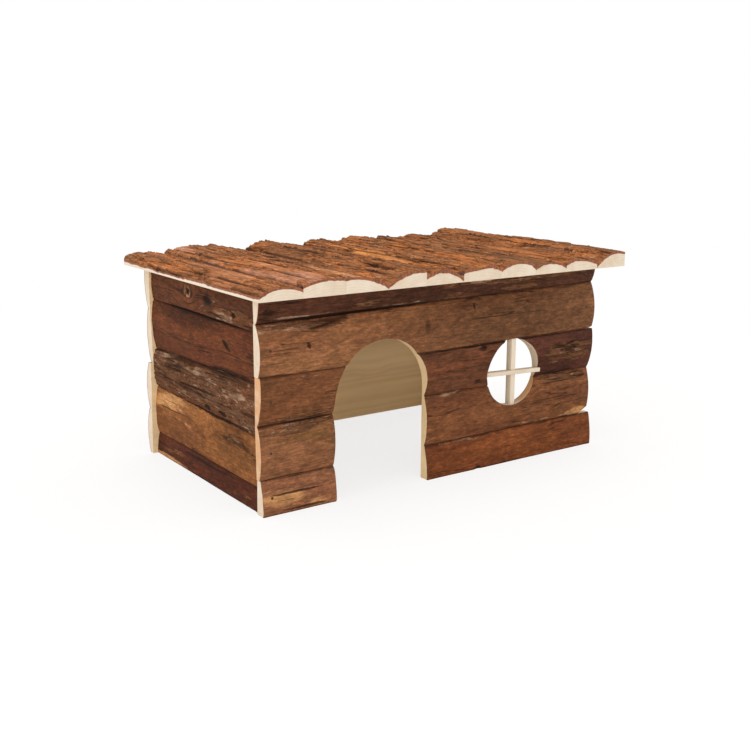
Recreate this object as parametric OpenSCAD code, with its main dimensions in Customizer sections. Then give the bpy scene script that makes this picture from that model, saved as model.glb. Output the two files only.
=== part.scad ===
// House for small pets, nailed up from bark slabs: boards sawn off the outside of logs, flat on
// their inner face and crowned with bark on the outer one. Slabs that share a seam meet there
// face to face. The front has an arched doorway and a round window with a cross of sticks, the
// right wall has a second doorway, and the bottom is open. X runs to the right, Y to the back,
// Z up. The origin lies on the floor under the middle of the roof.

/* [Roof] */
// Width of the roof, from left to right
roof_w = 400; // [370:5:430]
// Depth of the roof, from front to back
roof_d = 270; // [240:5:300]
// Thickness of the bark on the roof slabs
roof_bark = 2; // [1:0.25:3]
// Radius of the furrows along the roof slabs' bark
furrow_r = 3; // [2:0.25:4]
// Depth of the furrows
furrow_deep = 1.3; // [0.8:0.1:1.8]
// Roof past the left ends of the front and back panels
over_left = 13; // [4:1:25]
// Roof past the right ends of the front and back panels
over_right = 15; // [6:1:25]
// Roof past the bark of the front panel
over_front = 24; // [10:1:40]
// Roof past the bark of the back panel
over_back = 19; // [10:1:40]

/* [Walls] */
// Height of the walls, from the floor to the flat undersides of the roof slabs
wall_h = 183; // [178:1:200]
// Thickness of a wall slab at the crown of its bark
wall_t = 11; // [10:0.5:14]
// Side walls inside the ends of the front and back panels, measured at their bark
side_inset = 1.5; // [0.5:0.5:5]
// Heights of the front panel's seams at its left end
front_seams_left = [30, 76, 117, 160]; // [20:1:168]
// Heights of the front panel's seams at its right end
front_seams_right = [32, 79, 119, 165]; // [20:1:168]
// Heights of the left wall's seams at the front panel
left_seams_front = [21, 65, 110, 152]; // [12:1:168]
// Heights of the left wall's seams at the back panel
left_seams_back = [21, 67, 104, 152]; // [12:1:168]
// Heights of the right wall's seams at the front panel
right_seams_front = [27, 69, 113, 156]; // [12:1:168]
// Heights of the right wall's seams at the back panel
right_seams_back = [25, 71, 110, 158]; // [12:1:168]
// Heights of the back panel's seams at its left end
back_seams_left = [45, 90, 144]; // [20:1:168]
// Heights of the back panel's seams at its right end
back_seams_right = [43, 93, 141]; // [20:1:168]

/* [Doorways] */
// Width of a doorway
door_w = 98; // [80:1:108]
// Height of a doorway at the top of its arch
door_h = 136.5; // [125:0.5:150]
// Middle of the front doorway, from the left end of the front panel
door_in = 120.5; // [100:0.5:130]
// Middle of the side doorway, from the inner face of the front panel
side_door_in = 96; // [90:1:102]

/* [Window] */
// Diameter of the round window
win_d = 64; // [63:0.5:70]
// Middle of the window, from the right end of the front panel
win_in = 101; // [80:1:110]
// Middle of the window above the floor
win_z = 87.5; // [87:0.5:92]
// Width of the upright stick
upright_w = 5.5; // [4:0.5:7]
// Depth of the upright stick
upright_d = 7; // [6:0.5:8]
// Height of the crossbar stick
crossbar_h = 4; // [3:0.5:6]
// Depth of the crossbar stick
crossbar_d = 6; // [5:0.5:7]
// Slope of the crossbar, down to the right, in degrees
crossbar_tilt = 2; // [0:0.5:3]
// Turn of the crossbar that brings its right end forward, in degrees
crossbar_lean = 2; // [0:0.5:3]
// Upright to the right of the window's middle
upright_x = 1.5; // [-3:0.5:3]
// Crossbar below the window's middle
crossbar_z = 0.5; // [0:0.5:3]
// Crossbar behind the crown of the front panel's bark
crossbar_in = 2.5; // [2:0.5:4]
// Length of each stick's end that is let into the slabs
stick_seat = 2; // [1:0.5:3]
// Play round a stick in its seats and in its lap
stick_fit = 0.1; // [0.05:0.05:0.3]

/* [Nails] */
// Diameter of a nail's shank
nail_d = 1.2; // [1:0.1:1.5]
// Length of a nail under its head
nail_l = 20; // [16:1:24]
// Diameter of a nail's head
head_d = 2.2; // [1.8:0.1:3]
// Thickness of a nail's head
head_t = 0.5; // [0.4:0.1:0.8]
// Depth of a nail's head below the bark
head_sink = 0.3; // [0:0.1:0.8]
// Play round a nail in its hole
nail_fit = 0.02; // [0.01:0.01:0.05]
// Panel nails outside the inner faces of the side walls
nail_in = 3; // [2.5:0.25:4]
// Roof nails from the ends of the panels, at least
nail_edge = 14; // [12:1:20]

/* [Hidden] */
COURSES = ["bottom", "lower", "middle", "upper", "top"];
BACK_COURSES = ["bottom", "lower", "upper", "top"];
SLABS = [1 : 10];

// Ends of the front and back panels, and the planes of the four walls' inner faces
panel_x = [-roof_w / 2 + over_left, roof_w / 2 - over_right];
front_y = -roof_d / 2 + over_front + wall_t;
back_y = roof_d / 2 - over_back - wall_t;
left_x = panel_x[0] + side_inset + wall_t;
right_x = panel_x[1] - side_inset - wall_t;
side_y = [front_y, back_y];

// Seams as height at the start and height at the end, with the floor and the wall top
function courses(starts, ends) = [
    [0, 0],
    for (i = [0 : len(starts) - 1]) [starts[i], ends[i]],
    [wall_h, wall_h]
];
front_seams = courses(front_seams_left, front_seams_right);
back_seams = courses(back_seams_left, back_seams_right);
left_seams = courses(left_seams_front, left_seams_back);
right_seams = courses(right_seams_front, right_seams_back);

// How far each slab's bark lies below the nominal thickness at its lower edge, at its crown
// and at its upper edge, from the bottom course up. A slab that was ripped down the middle of
// its bark has its crown at one edge.
front_falls = [[0, 0, 4.5], [5.5, 2, 6.5], [6.5, 0.5, 2], [3.5, 0, 6.5], [6.5, 1, 1]];
back_falls = [[6, 0.5, 6], [5.5, 0, 5.5], [6, 0.5, 6.5], [6, 0, 2]];
left_falls = [[0.5, 0.5, 2.5], [2.5, 0.5, 3], [3, 0, 2.5], [3.5, 0, 2], [2, 0.5, 1.5]];
right_falls = [[1, 1, 3], [2.5, 0, 3], [3, 0.5, 3], [3.5, 0, 2.5], [2.5, 0.5, 1.5]];

// How far each slab's end stands past its panel's end, at its lower and its upper edge
front_left_ends = [[-4, -2], [-0.5, 0], [0, -0.5], [0, 0], [-0.5, 0]];
front_right_ends = [[4, 5], [1, 1], [1.5, 2], [2, 2], [2, 1.5]];
back_left_ends = [[0, -1], [0, 0.5], [-1, 0], [0, 0]];
back_right_ends = [[1, 0], [0, 2], [1, 0.5], [0.5, 1]];

// Length and height of the corner torn off the lower right end of each front slab
front_torn = [[0, 0], [10, 7], [0, 0], [8, 2], [0, 0]];

// Roof seams: shift from an even pitch at the front, and further shift at the back
seam_shift = [0, -1, -1, 0, -0.5, 0, 3, 3.5, 2.5, 2.5, 0];
seam_skew = [0, 3, 2.5, 1, 0, -1.5, 0, 1, -1, 1.5, 0];
// Wood under the bark of each roof slab at its left edge, its crown and its right edge
roof_wood = [
    [3, 8.8, 5.2], [7.7, 11.9, 10.5], [10.5, 10.9, 1], [1, 11.6, 11.5], [5, 7.8, 1],
    [6.1, 9, 5.8], [5.8, 10.8, 5.1], [4.5, 8.6, 3.7], [5.5, 8.2, 4.1], [1.5, 12.5, 11.2]
];
// How far each roof slab stops short of the back at its left and its right edge
roof_short = [
    [3, 1], [0.5, 2], [0, 1], [3, 0.5], [2, 1], [0, 2], [1, 0.5], [2.5, 4], [2, 4.5], [1, 0]
];
// The main furrows of each roof slab's bark, as shares of the slab: how far across it a furrow
// lies, and where it starts and ends, from the back to the front. Past 0 or 1 it runs out.
roof_furrows = [
    [[0.21, 0.68, 0.94], [0.45, -0.05, 0.42], [0.83, 0.15, 0.76]],
    [[0.23, -0.05, 0.6], [0.7, 0.15, 0.72], [0.34, 0.73, 0.96]],
    [[0.15, 0.35, 0.95], [0.36, -0.05, 0.52], [0.72, 0.22, 0.96]],
    [[0.24, -0.05, 0.42], [0.66, 0.2, 0.9], [0.33, 0.62, 0.96]],
    [[0.24, -0.05, 0.65], [0.7, 0.24, 0.96]],
    [[0.22, 0.28, 0.95], [0.37, -0.05, 0.36], [0.68, -0.05, 0.7], [0.82, 0.76, 0.96]],
    [[0.25, -0.05, 0.58], [0.66, 0.17, 0.96]],
    [[0.2, -0.05, 0.66], [0.82, 0.38, 0.96]],
    [[0.25, 0.12, 0.96], [0.7, -0.05, 0.6], [0.8, 0.7, 0.96]],
    [[0.4, -0.05, 0.7], [0.74, 0.26, 0.96]]
];
// The one slab with a wider groove worn all along its crown, and that groove's place, radius
// and depth
grooved_slab = 8;
groove_place = [0.53, -0.05, 1.05];
groove_r = 5;
groove_deep = 1.4;

roof_pitch = roof_w / 10;
roof_span = [-roof_d / 2, roof_d / 2];
door_x = panel_x[0] + door_in;
side_door_y = front_y + side_door_in;
win_x = panel_x[1] - win_in;
// Play past a surface that a cut has to clear
past = 1;
round_fn = 240;
furrow_fn = 48;
nail_fn = 32;

// Height of a seam at u, where the panel runs from span[0] to span[1]
function at(seam, span, u) = seam[0] + (seam[1] - seam[0]) * (u - span[0]) / (span[1] - span[0]);

// The bark is part of a true cylinder along the slab. For a slab of the given mean width these
// give its radius, and the crown's place as a share of the width.
function drops(thick) = [sqrt(thick[1] - thick[0]), sqrt(thick[1] - thick[2])];
function crown_share(thick) = drops(thick)[0] / (drops(thick)[0] + drops(thick)[1]);
function bark_r(width, thick) =
    (pow(width / (drops(thick)[0] + drops(thick)[1]), 2) + pow(max(drops(thick)), 2)) / 2;
function mean_width(lo, hi) = (hi[0] + hi[1] - lo[0] - lo[1]) / 2;
function crown_line(lo, hi, thick) = lo + (hi - lo) * crown_share(thick);

// Thickness of a slab at the point u, v of its flat face
function thick_at(span, lo, hi, thick, u, v) =
    let (
        r = bark_r(mean_width(lo, hi), thick),
        off = v - at(crown_line(lo, hi, thick), span, u)
    )
    thick[1] - r + sqrt(r * r - off * off);

function wall_thick(falls) = [for (fall = falls) wall_t - fall];
function roof_seam(i) =
    let (front = -roof_w / 2 + roof_pitch * i + seam_shift[i])
    [front + seam_skew[i], front];
function roof_thick(i) = [for (wood = roof_wood[i - 1]) wood + roof_bark];

// A slab on its flat face. Its length runs along x, ends[0] and ends[1] hold the x of its two
// ends at the lower and the upper edge, and the seams lo and hi are its edges. torn is the
// length and height of the corner missing from the lower edge at its far end.
module slab(span, ends, lo, hi, thick, torn = [0, 0])
{
    r = bark_r(mean_width(lo, hi), thick);
    crown = crown_line(lo, hi, thick);
    run = span[1] - span[0];
    intersection() {
        linear_extrude(height = thick[1] + past)
            polygon([
                [ends[0][1], at(hi, span, ends[0][1])],
                [ends[0][0], at(lo, span, ends[0][0])],
                if (torn[0] > 0) [ends[1][0] - torn[0], at(lo, span, ends[1][0] - torn[0])],
                [ends[1][0], at(lo, span, ends[1][0]) + torn[1]],
                [ends[1][1], at(hi, span, ends[1][1])]
            ]);
        translate([span[0], crown[0], thick[1] - r])
            rotate([0, 90, atan2(crown[1] - crown[0], run)])
                translate([0, 0, -run / 4])
                    cylinder(r = r, h = run * 1.5, $fn = round_fn);
    }
}

// A furrow along a slab's bark, with round ends. It runs straight along the log at its place,
// given as in roof_furrows.
module furrow(span, lo, hi, thick, place, radius, deep)
{
    r = bark_r(mean_width(lo, hi), thick);
    crown = crown_line(lo, hi, thick);
    run = span[1] - span[0];
    off = (place[0] - crown_share(thick)) * mean_width(lo, hi);
    length = (place[2] - place[1]) * run;
    translate([span[0], crown[0], thick[1] - r])
        rotate([0, 0, atan2(crown[1] - crown[0], run)])
            rotate([-asin(off / r), 0, 0])
                translate([place[1] * run, 0, r + radius - deep]) {
                    rotate([0, 90, 0])
                        cylinder(r = radius, h = length, $fn = furrow_fn);
                    for (x = [0, length])
                        translate([x, 0, 0])
                            sphere(r = radius, $fn = furrow_fn);
                }
}

// A nail driven down at the origin, its head's top at z = 0
module nail(play = 0)
{
    translate([0, 0, -head_t - nail_l - play])
        cylinder(d = nail_d + 2 * play, h = nail_l + head_t / 2 + play, $fn = nail_fn);
    translate([0, 0, -head_t - play])
        cylinder(d = head_d + 2 * play, h = head_t + play, $fn = nail_fn);
}

// The nail's hole, with the mouth that its head has pressed into the bark
module nail_hole()
{
    nail(nail_fit);
    cylinder(d = head_d + 2 * nail_fit, h = head_sink + 2 * past, $fn = nail_fn);
}

// Where each wall stands, for slabs and nails drawn lying on their flat faces
module on_front() { translate([0, front_y, 0]) rotate([90, 0, 0]) children(); }
module on_back() { translate([0, back_y, 0]) mirror([0, 1, 0]) rotate([90, 0, 0]) children(); }
module on_left() { translate([left_x, 0, 0]) mirror([1, 0, 0]) rotate([90, 0, 90]) children(); }
module on_right() { translate([right_x, 0, 0]) rotate([90, 0, 90]) children(); }
module on_roof() { translate([0, 0, wall_h]) rotate([0, 0, -90]) children(); }

// Places a nail or its hole in the middle of each course at both ends of a panel, where it
// meets the ends of the side walls
module at_panel_nails(seams, falls)
{
    for (c = [0 : len(falls) - 1])
        for (x = [left_x - nail_in, right_x + nail_in]) {
            v = (at(seams[c], panel_x, x) + at(seams[c + 1], panel_x, x)) / 2;
            t = thick_at(panel_x, seams[c], seams[c + 1], wall_thick(falls[c]), x, v);
            translate([x, v, t - head_sink])
                children();
        }
}

// Places a nail or its hole in each roof slab, over a panel's top edge at the depth y
module at_roof_nails(y)
{
    for (i = SLABS) {
        lo = roof_seam(i - 1);
        hi = roof_seam(i);
        middle = at((lo + hi) / 2, roof_span, -y);
        x = max(panel_x[0] + nail_edge, min(panel_x[1] - nail_edge, middle));
        t = thick_at(roof_span, lo, hi, roof_thick(i), -y, x);
        translate([x, y, wall_h + t - head_sink])
            children();
    }
}

// Depth of the roof nails: the middle of each panel's top edge
roof_nail_front_y = front_y - (wall_t - front_falls[4][2]) / 2;
roof_nail_back_y = back_y + (wall_t - back_falls[3][2]) / 2;

// The saw cut of a doorway whose middle is at u, through a wall that lies on its flat face
module doorway(u)
{
    translate([u - door_w / 2, -past, -past])
        cube([door_w, door_h - door_w / 2 + past, wall_t + 2 * past]);
    translate([u, door_h - door_w / 2, -past])
        cylinder(d = door_w, h = wall_t + 2 * past, $fn = round_fn);
}

module window_hole()
{
    translate([win_x, front_y + past, win_z])
        rotate([90, 0, 0])
            cylinder(d = win_d, h = wall_t + 2 * past, $fn = round_fn);
}

// The upright lies at the back of the hole, flush with the inner face of the panel
module upright_stick(play = 0)
{
    length = win_d + 2 * stick_seat + 2 * play;
    translate([win_x + upright_x, front_y - upright_d / 2, win_z])
        cube([upright_w, upright_d, win_d + 2 * stick_seat] + 2 * play * [1, 1, 1], center = true);
}

// The crossbar lies at the front, in line with the bark round the hole
crossbar_y = front_y - wall_t + crossbar_in + crossbar_d / 2;
module crossbar_stick(play = 0)
{
    translate([win_x, crossbar_y, win_z - crossbar_z])
        rotate([0, crossbar_tilt, -crossbar_lean])
            cube([win_d + 2 * stick_seat, crossbar_d, crossbar_h] + 2 * play * [1, 1, 1],
                center = true);
}

// The room in front of and behind the plane in which the two sticks meet, which lies halfway
// through their common depth
lap_y = (crossbar_y + crossbar_d / 2 + front_y - upright_d) / 2;
module lap_room(side, play = 0)
{
    translate([win_x, lap_y + side * (wall_t - play), win_z])
        cube([win_d, 2 * wall_t, win_d], center = true);
}

module front_cuts()
{
    on_front() doorway(door_x);
    window_hole();
    upright_stick(stick_fit);
    crossbar_stick(stick_fit);
    on_front() at_panel_nails(front_seams, front_falls) nail_hole();
}

// One slab of the front panel's course c, between the lines ends before the doorway and the
// window are cut
module front_slab(c, ends, torn = [0, 0])
{
    color(["sienna", "#8a5230", "#6e4022", "#7c4a2a", "#4d3524"][c])
        difference() {
            on_front()
                slab(panel_x, ends, front_seams[c], front_seams[c + 1],
                    wall_thick(front_falls[c]), torn);
            front_cuts();
            if (c > 2)
                at_roof_nails(roof_nail_front_y) nail_hole();
        }
}

// The ends of course c of the front panel, and the lines on which its courses are cut
function front_left(c) = [for (past_end = front_left_ends[c]) panel_x[0] - past_end];
function front_right(c) = [for (past_end = front_right_ends[c]) panel_x[1] + past_end];
door_line = [door_x, door_x];
window_line = [win_x, win_x];

module front_left_slab(c) { front_slab(c, [front_left(c), door_line]); }
module front_middle_pier() { front_slab(2, [door_line, window_line]); }
module front_right_slab(c)
{
    front_slab(c, [c == 2 ? window_line : door_line, front_right(c)], front_torn[c]);
}
module front_whole_slab(c) { front_slab(c, [front_left(c), front_right(c)], front_torn[c]); }

module back_slab(c)
{
    left = [for (past_end = back_left_ends[c]) panel_x[0] - past_end];
    right = [for (past_end = back_right_ends[c]) panel_x[1] + past_end];
    color(["#7a4a2c", "#6b4128", "#845232", "#5f3a24"][c])
        difference() {
            on_back()
                slab(panel_x, [left, right], back_seams[c], back_seams[c + 1],
                    wall_thick(back_falls[c]));
            on_back() at_panel_nails(back_seams, back_falls) nail_hole();
            at_roof_nails(roof_nail_back_y) nail_hole();
        }
}

// The side walls' slabs stand between the panels, which are nailed into their ends
module side_nail_holes()
{
    on_front() at_panel_nails(front_seams, front_falls) nail_hole();
    on_back() at_panel_nails(back_seams, back_falls) nail_hole();
}

module left_slab(c)
{
    color(["#5a2f22", "#8a5a32", "#6c4a38", "#6a3c28", "#704830"][c])
        difference() {
            on_left()
                slab(side_y, [[front_y, front_y], [back_y, back_y]], left_seams[c],
                    left_seams[c + 1], wall_thick(left_falls[c]));
            side_nail_holes();
        }
}

// A slab of the right wall's course c, between two upright lines, before its doorway is cut
module right_slab(c, from = front_y, to = back_y)
{
    color(["#63402a", "#7d5030", "#6a4630", "#80502e", "#5e3c28"][c])
        difference() {
            on_right() {
                difference() {
                    slab(side_y, [[from, from], [to, to]], right_seams[c], right_seams[c + 1],
                        wall_thick(right_falls[c]));
                    doorway(side_door_y);
                }
            }
            side_nail_holes();
        }
}

// A roof slab, its flat face down on the tops of the walls. Lying on the roof its length runs
// from the back to the front.
module roof_slab(i)
{
    back_end = [for (short = roof_short[i - 1]) roof_span[0] + short];
    front_end = [roof_span[1], roof_span[1]];
    lo = roof_seam(i - 1);
    hi = roof_seam(i);
    thick = roof_thick(i);
    color(["#9a6238", "#b0705a", "#a86a3c", "#8c5a38", "#7a4a2e"][i % 5])
        difference() {
            on_roof()
                slab(roof_span, [back_end, front_end], lo, hi, thick);
            at_roof_nails(roof_nail_front_y) nail_hole();
            at_roof_nails(roof_nail_back_y) nail_hole();
            on_roof() {
                for (place = roof_furrows[i - 1])
                    furrow(roof_span, lo, hi, thick, place, furrow_r, furrow_deep);
                if (i == grooved_slab)
                    furrow(roof_span, lo, hi, thick, groove_place, groove_r, groove_deep);
            }
        }
}

module window_upright()
{
    color("burlywood")
        difference() {
            upright_stick();
            intersection() {
                crossbar_stick(stick_fit);
                lap_room(-1);
            }
        }
}

module window_crossbar()
{
    color("wheat")
        difference() {
            crossbar_stick();
            intersection() {
                upright_stick(stick_fit);
                lap_room(1, stick_fit);
            }
        }
}

module front_nails() { color("silver") on_front() at_panel_nails(front_seams, front_falls) nail(); }
module back_nails() { color("silver") on_back() at_panel_nails(back_seams, back_falls) nail(); }
module roof_front_nails() { color("silver") at_roof_nails(roof_nail_front_y) nail(); }
module roof_back_nails() { color("silver") at_roof_nails(roof_nail_back_y) nail(); }

for (c = [0 : 2])
    front_left_slab(c);
for (c = [0 : 2])
    front_right_slab(c);
front_middle_pier();
front_whole_slab(3);  // front_upper
front_whole_slab(4);  // front_top
for (c = [0 : 3])
    back_slab(c);
for (c = [0 : 4])
    left_slab(c);
for (c = [0 : 2]) {
    right_slab(c, to = side_door_y);
    right_slab(c, from = side_door_y);
}
for (c = [3 : 4])
    right_slab(c);
for (i = SLABS)
    roof_slab(i);
window_upright();
window_crossbar();
front_nails();
back_nails();
roof_front_nails();
roof_back_nails();
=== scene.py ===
import math

import bpy
from mathutils import Matrix, Vector


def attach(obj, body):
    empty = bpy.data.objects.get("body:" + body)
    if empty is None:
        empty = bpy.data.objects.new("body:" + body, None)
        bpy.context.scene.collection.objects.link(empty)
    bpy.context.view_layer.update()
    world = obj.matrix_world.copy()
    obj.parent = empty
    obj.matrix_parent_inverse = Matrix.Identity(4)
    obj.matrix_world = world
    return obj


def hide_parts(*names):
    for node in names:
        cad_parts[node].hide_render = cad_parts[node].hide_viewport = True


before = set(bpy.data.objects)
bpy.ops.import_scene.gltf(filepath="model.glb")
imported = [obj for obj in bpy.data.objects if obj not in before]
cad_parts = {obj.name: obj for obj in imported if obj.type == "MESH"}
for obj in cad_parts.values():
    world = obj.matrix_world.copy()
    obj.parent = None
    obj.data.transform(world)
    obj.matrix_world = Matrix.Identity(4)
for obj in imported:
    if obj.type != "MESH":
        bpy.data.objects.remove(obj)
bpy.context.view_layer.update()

# ---------------------------------------------------------------- Front panel
# Five courses of bark slabs, each sawn off the outside of a log: flat on the inside, crowned
# with bark on the outside. They are glued edge to edge, and the arched doorway and the round
# window are then sawn through the finished panel. All sizes in the sections are millimetres.

MM = 0.001
RING_STEP = 1.25     # length of a mesh face along a slab
BARK_STEP = 0.72     # width of a mesh face across a slab's bark


def add(tree, kind, feeds=None, **settings):
    """Adds a node to a node tree and sets it up. Its sockets are fed values or other sockets."""
    node = tree.nodes.new(kind)
    for name, value in settings.items():
        setattr(node, name, value)
    for socket, value in (feeds or {}).items():
        target = node.inputs[socket]
        if isinstance(value, bpy.types.NodeSocket):
            tree.links.new(value, target)
        else:
            target.default_value = value
    return node


class Sums:
    """Short names for a node tree's sums, patterns and blends."""

    def __init__(self, tree):
        self.tree = tree

    def sum(self, operation, *values):
        feeds = dict(enumerate(values))
        return add(self.tree, "ShaderNodeMath", feeds, operation=operation).outputs[0]

    def chain(self, operation, first, *others):
        for other in others:
            first = self.sum(operation, first, other)
        return first

    def plus(self, *values):
        return self.chain("ADD", *values)

    def minus(self, value, less):
        return self.sum("SUBTRACT", value, less)

    def multiply(self, *values):
        return self.chain("MULTIPLY", *values)

    def multiply_add(self, value, factor, more):
        return self.sum("MULTIPLY_ADD", value, factor, more)

    def larger(self, *values):
        return self.chain("MAXIMUM", *values)

    def length(self, first, second):
        """The long side of a right-angled triangle."""
        squares = [self.sum("POWER", value, 2.0) for value in (first, second)]
        return self.sum("SQRT", self.plus(*squares))

    def vector(self, operation, *values):
        node = add(self.tree, "ShaderNodeVectorMath", dict(enumerate(values)), operation=operation)
        return node.outputs["Value" if operation in ("LENGTH", "DOT_PRODUCT") else "Vector"]

    def scaled(self, vector, factor):
        feeds = {0: vector, "Scale": factor}
        return add(self.tree, "ShaderNodeVectorMath", feeds, operation="SCALE").outputs["Vector"]

    def step(self, value, low, high, at_low=0.0, at_high=1.0):
        """A smooth step that starts at low and ends at high."""
        feeds = {"Value": value, "From Min": low, "From Max": high, "To Min": at_low,
                 "To Max": at_high}
        node = add(self.tree, "ShaderNodeMapRange", feeds, interpolation_type="SMOOTHSTEP")
        return node.outputs["Result"]

    def noise(self, place, scale, detail=3.0, rough=0.5, twist=0.0):
        feeds = {"Vector": place, "Scale": scale, "Detail": detail, "Roughness": rough,
                 "Distortion": twist}
        return add(self.tree, "ShaderNodeTexNoise", feeds).outputs[0]

    def drawn_out(self, place, share, shift=(0.0, 0.0, 0.0)):
        """A place whose patterns come out drawn out along the slab."""
        squeezed = self.vector("MULTIPLY", place, (share, 1.0, 1.0))
        return self.vector("ADD", squeezed, shift)

    def near(self, value, middle, width):
        """1 where a value is at its middle and 0 from the width away."""
        off = self.sum("ABSOLUTE", self.minus(value, middle))
        return self.step(off, width, 0.0)

    def read(self, name, output="Fac"):
        """What has been noted or painted on the mesh under this name."""
        if self.tree.type == "GEOMETRY":
            kind = "FLOAT_VECTOR" if output == "Vector" else "FLOAT"
            node = add(self.tree, "GeometryNodeInputNamedAttribute", {"Name": name}, data_type=kind)
            return node.outputs[0]
        return add(self.tree, "ShaderNodeAttribute", attribute_name=name).outputs[output]

    def spot(self):
        """Where a point lay in its log, moved on by the slab's seed so that no two are alike."""
        seed = self.scaled((1.7, 3.1, 2.3), self.read("seed"))
        return self.vector("ADD", self.read("log", "Vector"), seed)

    def patch(self, name, share, pattern, low, high, rim):
        """What has been painted under this name, broken up by a pattern."""
        painted = self.read(name)
        broken = self.step(self.multiply_add(painted, share, pattern), low, high)
        return self.multiply(broken, self.step(painted, 0.0, rim))

    def blend(self, share, below, above, mode="MIX"):
        feeds = {"Factor": share, 6: below, 7: above}
        return add(self.tree, "ShaderNodeMix", feeds, data_type="RGBA", blend_type=mode).outputs[2]


def new_group(name, inputs):
    """An empty modifier made of nodes."""
    tree = bpy.data.node_groups.new(name, "GeometryNodeTree")
    tree.interface.new_socket("Geometry", in_out="OUTPUT", socket_type="NodeSocketGeometry")
    tree.interface.new_socket("Geometry", in_out="INPUT", socket_type="NodeSocketGeometry")
    for label, kind in inputs:
        tree.interface.new_socket(label, in_out="INPUT", socket_type="NodeSocket" + kind)
    return tree, tree.nodes.new("NodeGroupInput").outputs


def note(tree, geometry, name, value, kind="FLOAT"):
    """Notes a value on every point of a mesh, under a name that materials can read."""
    feeds = {"Geometry": geometry, "Name": name, "Value": value}
    node = add(tree, "GeometryNodeStoreNamedAttribute", feeds, data_type=kind, domain="POINT")
    return node.outputs[0]


def give_back(tree, geometry):
    """Ends a modifier made of nodes with the mesh that it gives back."""
    tree.links.new(geometry, tree.nodes.new("NodeGroupOutput").inputs[0])
    return tree


def log_place_group():
    """Notes where each point lay in the log: along it, across it, and out from its heart. Also
    notes how far it is from the slab's two long edges."""
    tree, given = new_group("Place in the log", (
        ("Heart", "Vector"), ("Along", "Vector"), ("Across", "Vector"), ("Out", "Vector"),
        ("Slope", "Float"), ("Taper", "Float"), ("Low", "Float"), ("High", "Float"),
        ("Log radius", "Float"), ("Bark", "Float"), ("Seed", "Float"), ("Main colour", "Color"),
        ("Second colour", "Color")))
    sums = Sums(tree)
    here = add(tree, "GeometryNodeInputPosition").outputs[0]
    off = sums.vector("SUBTRACT", here, given["Heart"])
    along = sums.vector("DOT_PRODUCT", off, given["Along"])
    across = sums.vector("DOT_PRODUCT", off, given["Across"])
    across = sums.minus(across, sums.multiply(along, given["Slope"]))
    across = sums.sum("DIVIDE", across, sums.multiply_add(along, given["Taper"], 1.0))
    out = sums.vector("DOT_PRODUCT", off, given["Out"])
    place = add(tree, "ShaderNodeCombineXYZ", {0: along, 1: across, 2: out}).outputs[0]
    edge = sums.sum("MINIMUM", sums.minus(across, given["Low"]),
                    sums.minus(given["High"], across))
    result = note(tree, given["Geometry"], "log", place, "FLOAT_VECTOR")
    for name, value in (("edge", edge), ("log_radius", given["Log radius"]),
                        ("bark_thick", given["Bark"]), ("seed", given["Seed"])):
        result = note(tree, result, name, value)
    result = note(tree, result, "main", given["Main colour"], "FLOAT_COLOR")
    result = note(tree, result, "second", given["Second colour"], "FLOAT_COLOR")
    return give_back(tree, result)


def paint_group():
    """Paints an oval patch under a name, 1 in its middle and falling to 0 at its rim."""
    tree, given = new_group("Paint a patch", (
        ("Name", "String"), ("Middle", "Vector"), ("Reach", "Vector"), ("Width", "Vector"),
        ("Strength", "Float")))
    sums = Sums(tree)
    here = add(tree, "GeometryNodeInputPosition").outputs[0]
    off = sums.vector("SUBTRACT", here, given["Middle"])
    reach = sums.vector("DOT_PRODUCT", off, given["Reach"])
    width = sums.vector("DOT_PRODUCT", off, given["Width"])
    fall = sums.minus(1.0, sums.length(reach, width))
    patch = sums.multiply(sums.larger(fall, 0.0), given["Strength"])
    before = sums.read(given["Name"])
    result = note(tree, given["Geometry"], given["Name"], sums.larger(before, patch))
    return give_back(tree, result)


def knot_group():
    """Notes a knot, 1 in its middle and falling to 0 at its rim, and bends the grain round it."""
    tree, given = new_group("Grow a knot", (
        ("Along", "Float"), ("Across", "Float"), ("Long", "Float"), ("Wide", "Float")))
    sums = Sums(tree)
    log = sums.read("log", "Vector")
    parts = add(tree, "ShaderNodeSeparateXYZ", {0: log}).outputs
    ahead = sums.minus(parts[0], given["Along"])
    aside = sums.minus(parts[1], given["Across"])
    reach = sums.length(sums.sum("DIVIDE", ahead, given["Long"]),
                        sums.sum("DIVIDE", aside, given["Wide"]))
    knot = sums.larger(sums.minus(1.0, reach), sums.read("knot"))
    bend = sums.multiply(sums.step(reach, 4.5, 0.6, 0.0, -0.8), aside)
    bend = add(tree, "ShaderNodeCombineXYZ", {1: bend}).outputs[0]
    result = note(tree, given["Geometry"], "knot", knot)
    result = note(tree, result, "log", sums.vector("ADD", log, bend), "FLOAT_VECTOR")
    return give_back(tree, result)


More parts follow.
